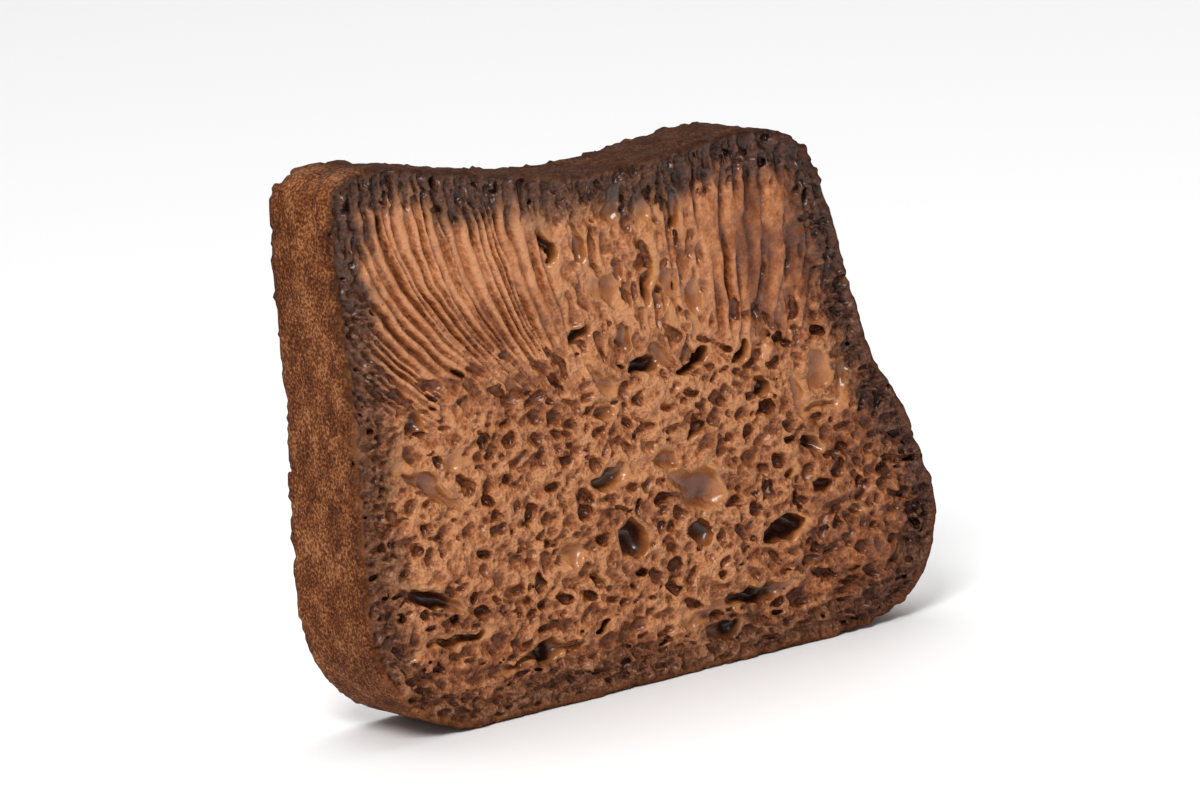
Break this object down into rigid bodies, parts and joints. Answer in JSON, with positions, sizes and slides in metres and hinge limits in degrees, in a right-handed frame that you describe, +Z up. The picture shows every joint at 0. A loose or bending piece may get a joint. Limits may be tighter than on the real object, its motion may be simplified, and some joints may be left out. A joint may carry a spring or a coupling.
{
  "type": "burnt toast slice",
  "caption": "Thick slice of burnt toast with a charred rim, a saddle-shaped top crust and open brown crumb, standing on its flat bottom crust.",
  "frame": {"origin": "middle of the bottom of the slice's box, on the flat bottom crust", "axes": "+X to the right across the shown cut face, +Y from the shown face to the back face, +Z up"},
  "size_m": [0.0916, 0.0186, 0.075],
  "materials": {
    "toast": "dry toasted crumb, charred at the rim"
  },
  "bodies": {
    "root": {"toast_slice": "toast"}
  },
  "joints": []
}
